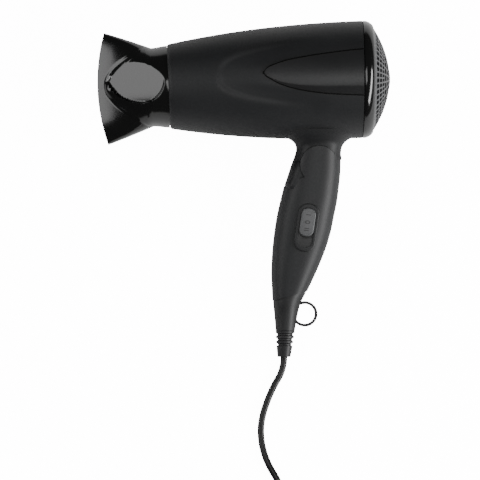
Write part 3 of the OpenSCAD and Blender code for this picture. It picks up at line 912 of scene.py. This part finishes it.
mark_bars = [switch_block(3.2, 0.55, 0.22, 0.05, 0, (0, knob_top, knob_high + z)) for z in (5.2, -4.4, -5.8)]
marks = joined(mark_ring((0, -2.42, knob_high)), *mark_bars)
switch_marks = finished(marks, "switch_marks", LAID, mark_material)
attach(switch_marks, "slider")

# Cord boot
# A PVC strain relief, gripped between the handle's halves, with three ribs near its tip so that it
# bends, and a flat loop at its rear edge to hang the dryer by.
# [height, front, rear, half thickness]
boot = [
    (-194.4, -59.2, -50, 4.6), (-186.7, -59.9, -48.6, 5.7), (-175, -60.6, -46.8, 6.9),
    (-164.3, -61.5, -44.9, 8.4), (-156, -62.3, -42.6, 10.2), (-150, -62.2, -39.6, 11), (-146, -61.4, -38.4, 11.2)
]
rib_heights = (-176.9, -180.4, -183.9)
groove_deep = 1
rib_half_l = 0.7
loop_centre = Vector((-40.1, 0, -164.2))
loop_r = 7.95
boot_material = moulding(
    "boot_rubber", (0.005, 0.005, 0.0055), 0.5, 1500, 0.00003, spread=0.1, dust=0.02, Specular_IOR_Level=0.4
)


def boot_skin(turn, way):
    height = boot[0][0] + (boot[-1][0] - boot[0][0]) * way
    front, rear, half_t = rows_at(boot, height)
    if rib_heights[-1] - 2.6 < height < rib_heights[0] + 1:
        near = min(abs(height - rib) for rib in rib_heights)
        sunk = groove_deep * smooth_step((near - rib_half_l) / 0.5)
        front, rear, half_t = front + sunk, rear - sunk, half_t - sunk
    edge = 0.5 * max(1 - (height - boot[0][0]) / 0.5, 0) ** 2
    return oval(front + edge, rear - edge, half_t - edge, height, turn, 2.2)


strain_relief = closed(skinned(64, 190, boot_skin))
loop_section = [
    (-1.05, -1.7), (-0.6, -2.2), (0.6, -2.2), (1.05, -1.7), (1.05, 1.7), (0.6, 2.2), (-0.6, 2.2), (-1.05, 1.7)
]
hang_loop = spun([(loop_r + x, y) for x, y in loop_section], 72)
hang_loop.transform(Matrix.Translation(loop_centre) @ Matrix.Rotation(math.pi / 2, 4, "X"))
cord_boot = finished(joined(strain_relief, hang_loop), "cord_boot_relief", LAID, boot_material, crease=38)
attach(cord_boot, "handle")
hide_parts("cord_boot")

# Plug
# A two-pin contour plug, moulded in PVC onto the cord, with a ribbed tail. Its brass pins have a
# black sleeve over the half next to the body.
# [distance from the tail's end, half width, half thickness]
plug = [
    (0, 3.1, 3.1), (8, 3.9, 3.9), (17, 5.4, 5.4), (18.6, 7, 6.6), (24, 11.8, 8.6), (34, 15, 10),
    (46, 17.5, 10.8), (53, 18, 11), (55.4, 17.6, 10.7), (56, 16.6, 9.8)
]
tail_pitch = 3.4
tail_from = 2
tail_to = 16
tail_deep = 0.8
pin_pitch = 19
pin_r = 2.4
pin_l = 19
ROW = Matrix.Scale(MM, 4)
plug_material = moulding("plug_pvc", (0.008, 0.008, 0.009), 0.4, 1500, 0.00003, spread=0.1, dust=0.03)


def plug_skin(turn, way):
    reach = plug[-1][0] * way
    half_w, half_t = rows_at(plug, reach)
    if tail_from < reach < tail_to:
        sunk = tail_deep * smooth_step((abs(reach % tail_pitch - tail_pitch / 2) - 0.5) / 0.4)
        half_w, half_t = half_w - sunk, half_t - sunk
    point = oval(-half_w, half_w, half_t, 0, turn, 2 + 1.2 * smooth_step((reach - 18) / 20))
    return plug_start + Vector((-reach, point.x, point.y))


plug_piece = finished(closed(skinned(56, 170, plug_skin)), "plug_moulding", ROW, plug_material, crease=38)
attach(plug_piece, "handle")
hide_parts("plug_body")


def metal(name, colour, roughness, grain_scale=700, grain_depth=0.00001):
    material = moulding(name, colour, roughness, grain_scale, grain_depth, spread=0.25, dust=0.1)
    material.node_tree.nodes["Principled BSDF"].inputs["Metallic"].default_value = 1
    return material


def pin_pair(profile):
    """Two round pieces of that profile, where the plug's pins stand."""
    pair = []
    for y in (-pin_pitch / 2, pin_pitch / 2):
        bm = spun(profile, 32, shut=False)
        foot = plug_start + Vector((-plug[-1][0], y, 0))
        bm.transform(Matrix.Translation(foot) @ Matrix.Rotation(-math.pi / 2, 4, "Y"))
        pair.append(closed(bm))
    return joined(*pair)


brass = metal("pin_brass", (0.72, 0.52, 0.24), 0.28)
pin_profile = [(pin_r, -2), (pin_r, pin_l - 1.6), (pin_r - 0.5, pin_l - 0.5), (pin_r - 1.3, pin_l), (0, pin_l)]
pins = finished(pin_pair(pin_profile), "plug_pin_pair", ROW, brass)
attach(pins, "handle")
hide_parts("plug_pins")
sleeve_profile = [(pin_r + 0.12, -1), (pin_r + 0.12, 9.4), (pin_r + 0.02, 9.7)]
sleeves = finished(pin_pair(sleeve_profile), "plug_pin_sleeves", ROW, plug_material)
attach(sleeves, "handle")

# Inner parts
# The fan and its motor, the heater on its mica cross, the switch gear and the fasteners stay as the
# frame gives them. Each gets the finish of what it is made of.
steel = metal("plated_steel", (0.55, 0.56, 0.57), 0.3)
wire = metal("heating_wire", (0.30, 0.27, 0.25), 0.38)
black_part = moulding("moulded_black", (0.014, 0.014, 0.015), 0.45, 1500, 0.00003, dust=0.1)
ring_part = moulding("ring_black", (0.004, 0.004, 0.004), 0.3, 1500, 0.00001, dust=0.01)
motor_part = moulding("motor_plastic", (0.11, 0.10, 0.09), 0.5, 1500, 0.00003, dust=0.1)
mica_sheet = moulding("mica_sheet", (0.42, 0.35, 0.26), 0.35, 260, 0.00006, spread=0.3, dust=0.1)
board = moulding("board_green", (0.03, 0.13, 0.06), 0.35, 900, 0.00002)
mesh_screen = moulding("lint_screen_mesh", (0.05, 0.05, 0.052), 0.5, 1800, 0.00004)
film = moulding("film_yellow", (0.62, 0.42, 0.05), 0.3, 900, 0.00002)
red_lead = moulding("lead_red", (0.38, 0.02, 0.015), 0.4, 900, 0.00002)
nylon = moulding("tie_black", (0.01, 0.01, 0.011), 0.42, 1200, 0.00003, dust=0.05)
inner_parts = {
    "lint_screen": mesh_screen, "fan_duct": motor_part, "motor_can": steel, "motor_end_cap": motor_part,
    "rectifier_board": board, "motor_shaft": steel, "fan_impeller": motor_part, "mica_sleeve": mica_sheet,
    "mica_cross": mica_sheet, "heating_coils": wire, "thermostat": steel, "thermal_fuse": steel,
    "outlet_grille": black_part, "barrel_leads": red_lead, "body_screws": steel, "nozzle_ring": ring_part,
    "hinge_pin": steel, "hinge_washers": steel, "switch_body": black_part, "capacitor": film,
    "cord_clamp": black_part, "handle_leads": red_lead, "handle_screws": steel, "supply_lead": black_part,
    "cord_tie": nylon,
}
for node_name, material in inner_parts.items():
    node = frame["nodes"][node_name]
    node.data.materials.clear()
    node.data.materials.append(material)
